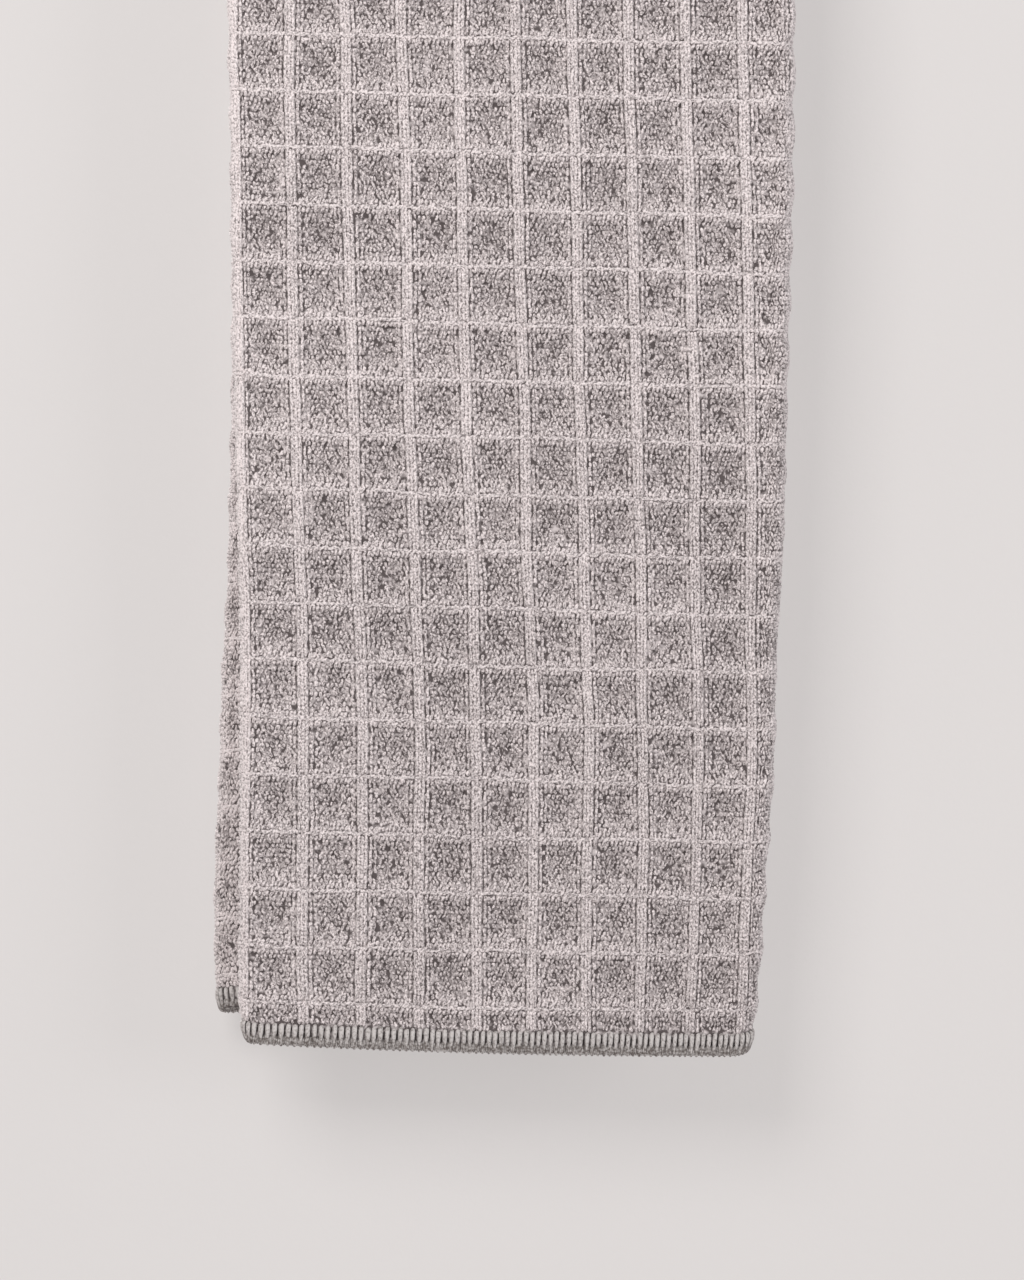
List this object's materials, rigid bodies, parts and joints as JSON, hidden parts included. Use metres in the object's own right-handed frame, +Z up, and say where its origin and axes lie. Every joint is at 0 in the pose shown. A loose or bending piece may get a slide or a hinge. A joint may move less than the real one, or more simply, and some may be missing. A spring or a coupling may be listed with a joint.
{
  "type": "folded waffle hand towel",
  "caption": "Waffle terry hand towel folded lengthwise and hung in half over a rail, with square sunken pits between raised ridges and overlocked edges.",
  "frame": {"origin": "middle of the underside of the top bend, where the towel bears on a rail", "axes": "+Z up, +X to the right along the rail, the front panel faces -Y"},
  "size_m": [0.1502, 0.034, 0.3162],
  "materials": {
    "terry_cloth": "warm grey waffle terry, matt"
  },
  "bodies": {
    "root": {"towel": "terry_cloth"}
  },
  "joints": []
}
